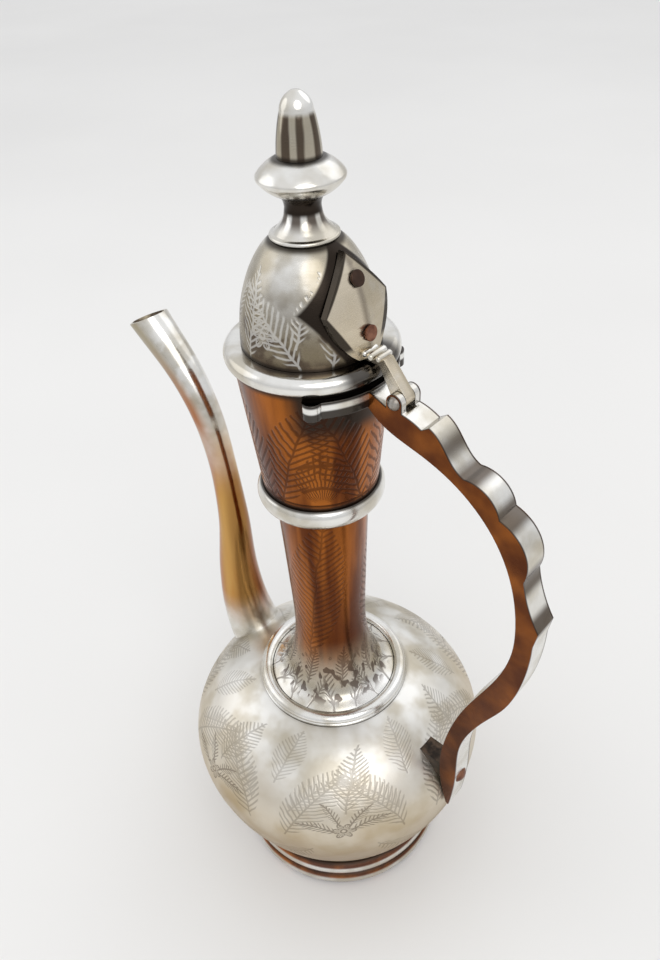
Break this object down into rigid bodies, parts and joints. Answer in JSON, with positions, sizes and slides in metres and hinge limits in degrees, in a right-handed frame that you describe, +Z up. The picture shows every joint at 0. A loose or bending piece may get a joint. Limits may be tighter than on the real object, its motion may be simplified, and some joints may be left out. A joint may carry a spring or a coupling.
{
  "type": "dallah coffee pot",
  "caption": "Tall silver-plated coffee pot with a round engraved body, slim ringed neck, swan-neck spout, scroll handle and a domed lid that hinges at the handle.",
  "frame": {"origin": "centre of the ring-shaped face that the foot stands on", "axes": "+Z up along the neck, -X towards the spout, +X towards the handle, +Y across the handle"},
  "size_m": [0.1383, 0.0952, 0.25],
  "materials": {
    "polished_silver_plate": "polished silver plate over brass, dark patina in the creases",
    "engraved_silver_plate": "satin silver plate over brass with engraved leaf sprays",
    "copper_rivet": "darkened copper",
    "steel_fastener": "plain steel"
  },
  "bodies": {
    "pot": {"foot_ring": "polished_silver_plate", "neck_collar": "polished_silver_plate", "mid_ring": "polished_silver_plate", "mouth_rim": "polished_silver_plate", "spout_tube": "polished_silver_plate", "handle": "polished_silver_plate", "neck_saddle": "polished_silver_plate", "base_disc": "polished_silver_plate", "handle_post": "polished_silver_plate", "body_lower_shell": "engraved_silver_plate", "body_upper_shell": "engraved_silver_plate", "neck_lower": "engraved_silver_plate", "neck_upper": "engraved_silver_plate", "handle_rivet": "copper_rivet", "hinge_pin": "steel_fastener"},
    "lid": {"lid_dome": "engraved_silver_plate", "lid_flange": "polished_silver_plate", "lid_strap": "polished_silver_plate", "strap_rivets": "copper_rivet", "finial_base": "polished_silver_plate", "finial_disc": "polished_silver_plate", "finial_tip": "polished_silver_plate", "finial_stud": "steel_fastener", "finial_washer": "steel_fastener", "finial_nut": "steel_fastener"}
  },
  "joints": [
    {"name": "lid_hinge", "type": "hinge", "parent": "pot", "child": "lid", "pos_m": [0.02664, 0, 0.1923], "axis": [0, 1, 0], "range_deg": [0, 105]}
  ]
}
